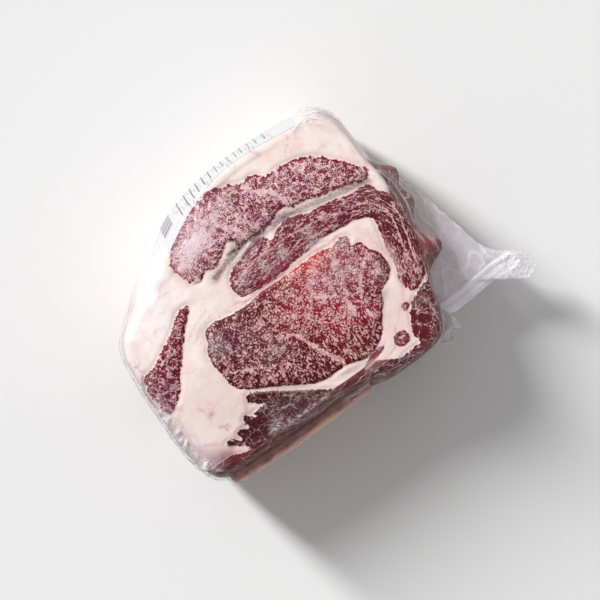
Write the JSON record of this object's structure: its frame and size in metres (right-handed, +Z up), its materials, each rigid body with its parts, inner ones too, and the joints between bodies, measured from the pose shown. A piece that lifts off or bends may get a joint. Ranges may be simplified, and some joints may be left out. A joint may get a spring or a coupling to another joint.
{
  "type": "raw beef rib roast",
  "caption": "Raw bone-in beef rib roast, vacuum-packed in clear film with a blank label on the fat cap, standing on a cut face so that the marbled cut face looks up.",
  "frame": {"origin": "middle of the lower cut face, on the surface that the roast stands on", "axes": "+Z up out of the upper cut face; -Y the side with the ribs; +Y the fat cap with the label; -X the flank end; +X the chine side, where the bag's loose end sticks out"},
  "size_m": [0.2918, 0.2035, 0.1274],
  "materials": {
    "beef": "marbled raw beef and cream fat seen through tight clear film",
    "bone": "rib bone under its thin skin, tan to pink",
    "label": "white semi-gloss paper label with plain grey bars",
    "film": "clear, creased vacuum bag film"
  },
  "bodies": {
    "root": {"roast": "beef", "rib_1": "bone", "rib_2": "bone", "rib_3": "bone", "label": "label", "bag_tail": "film"}
  },
  "joints": []
}
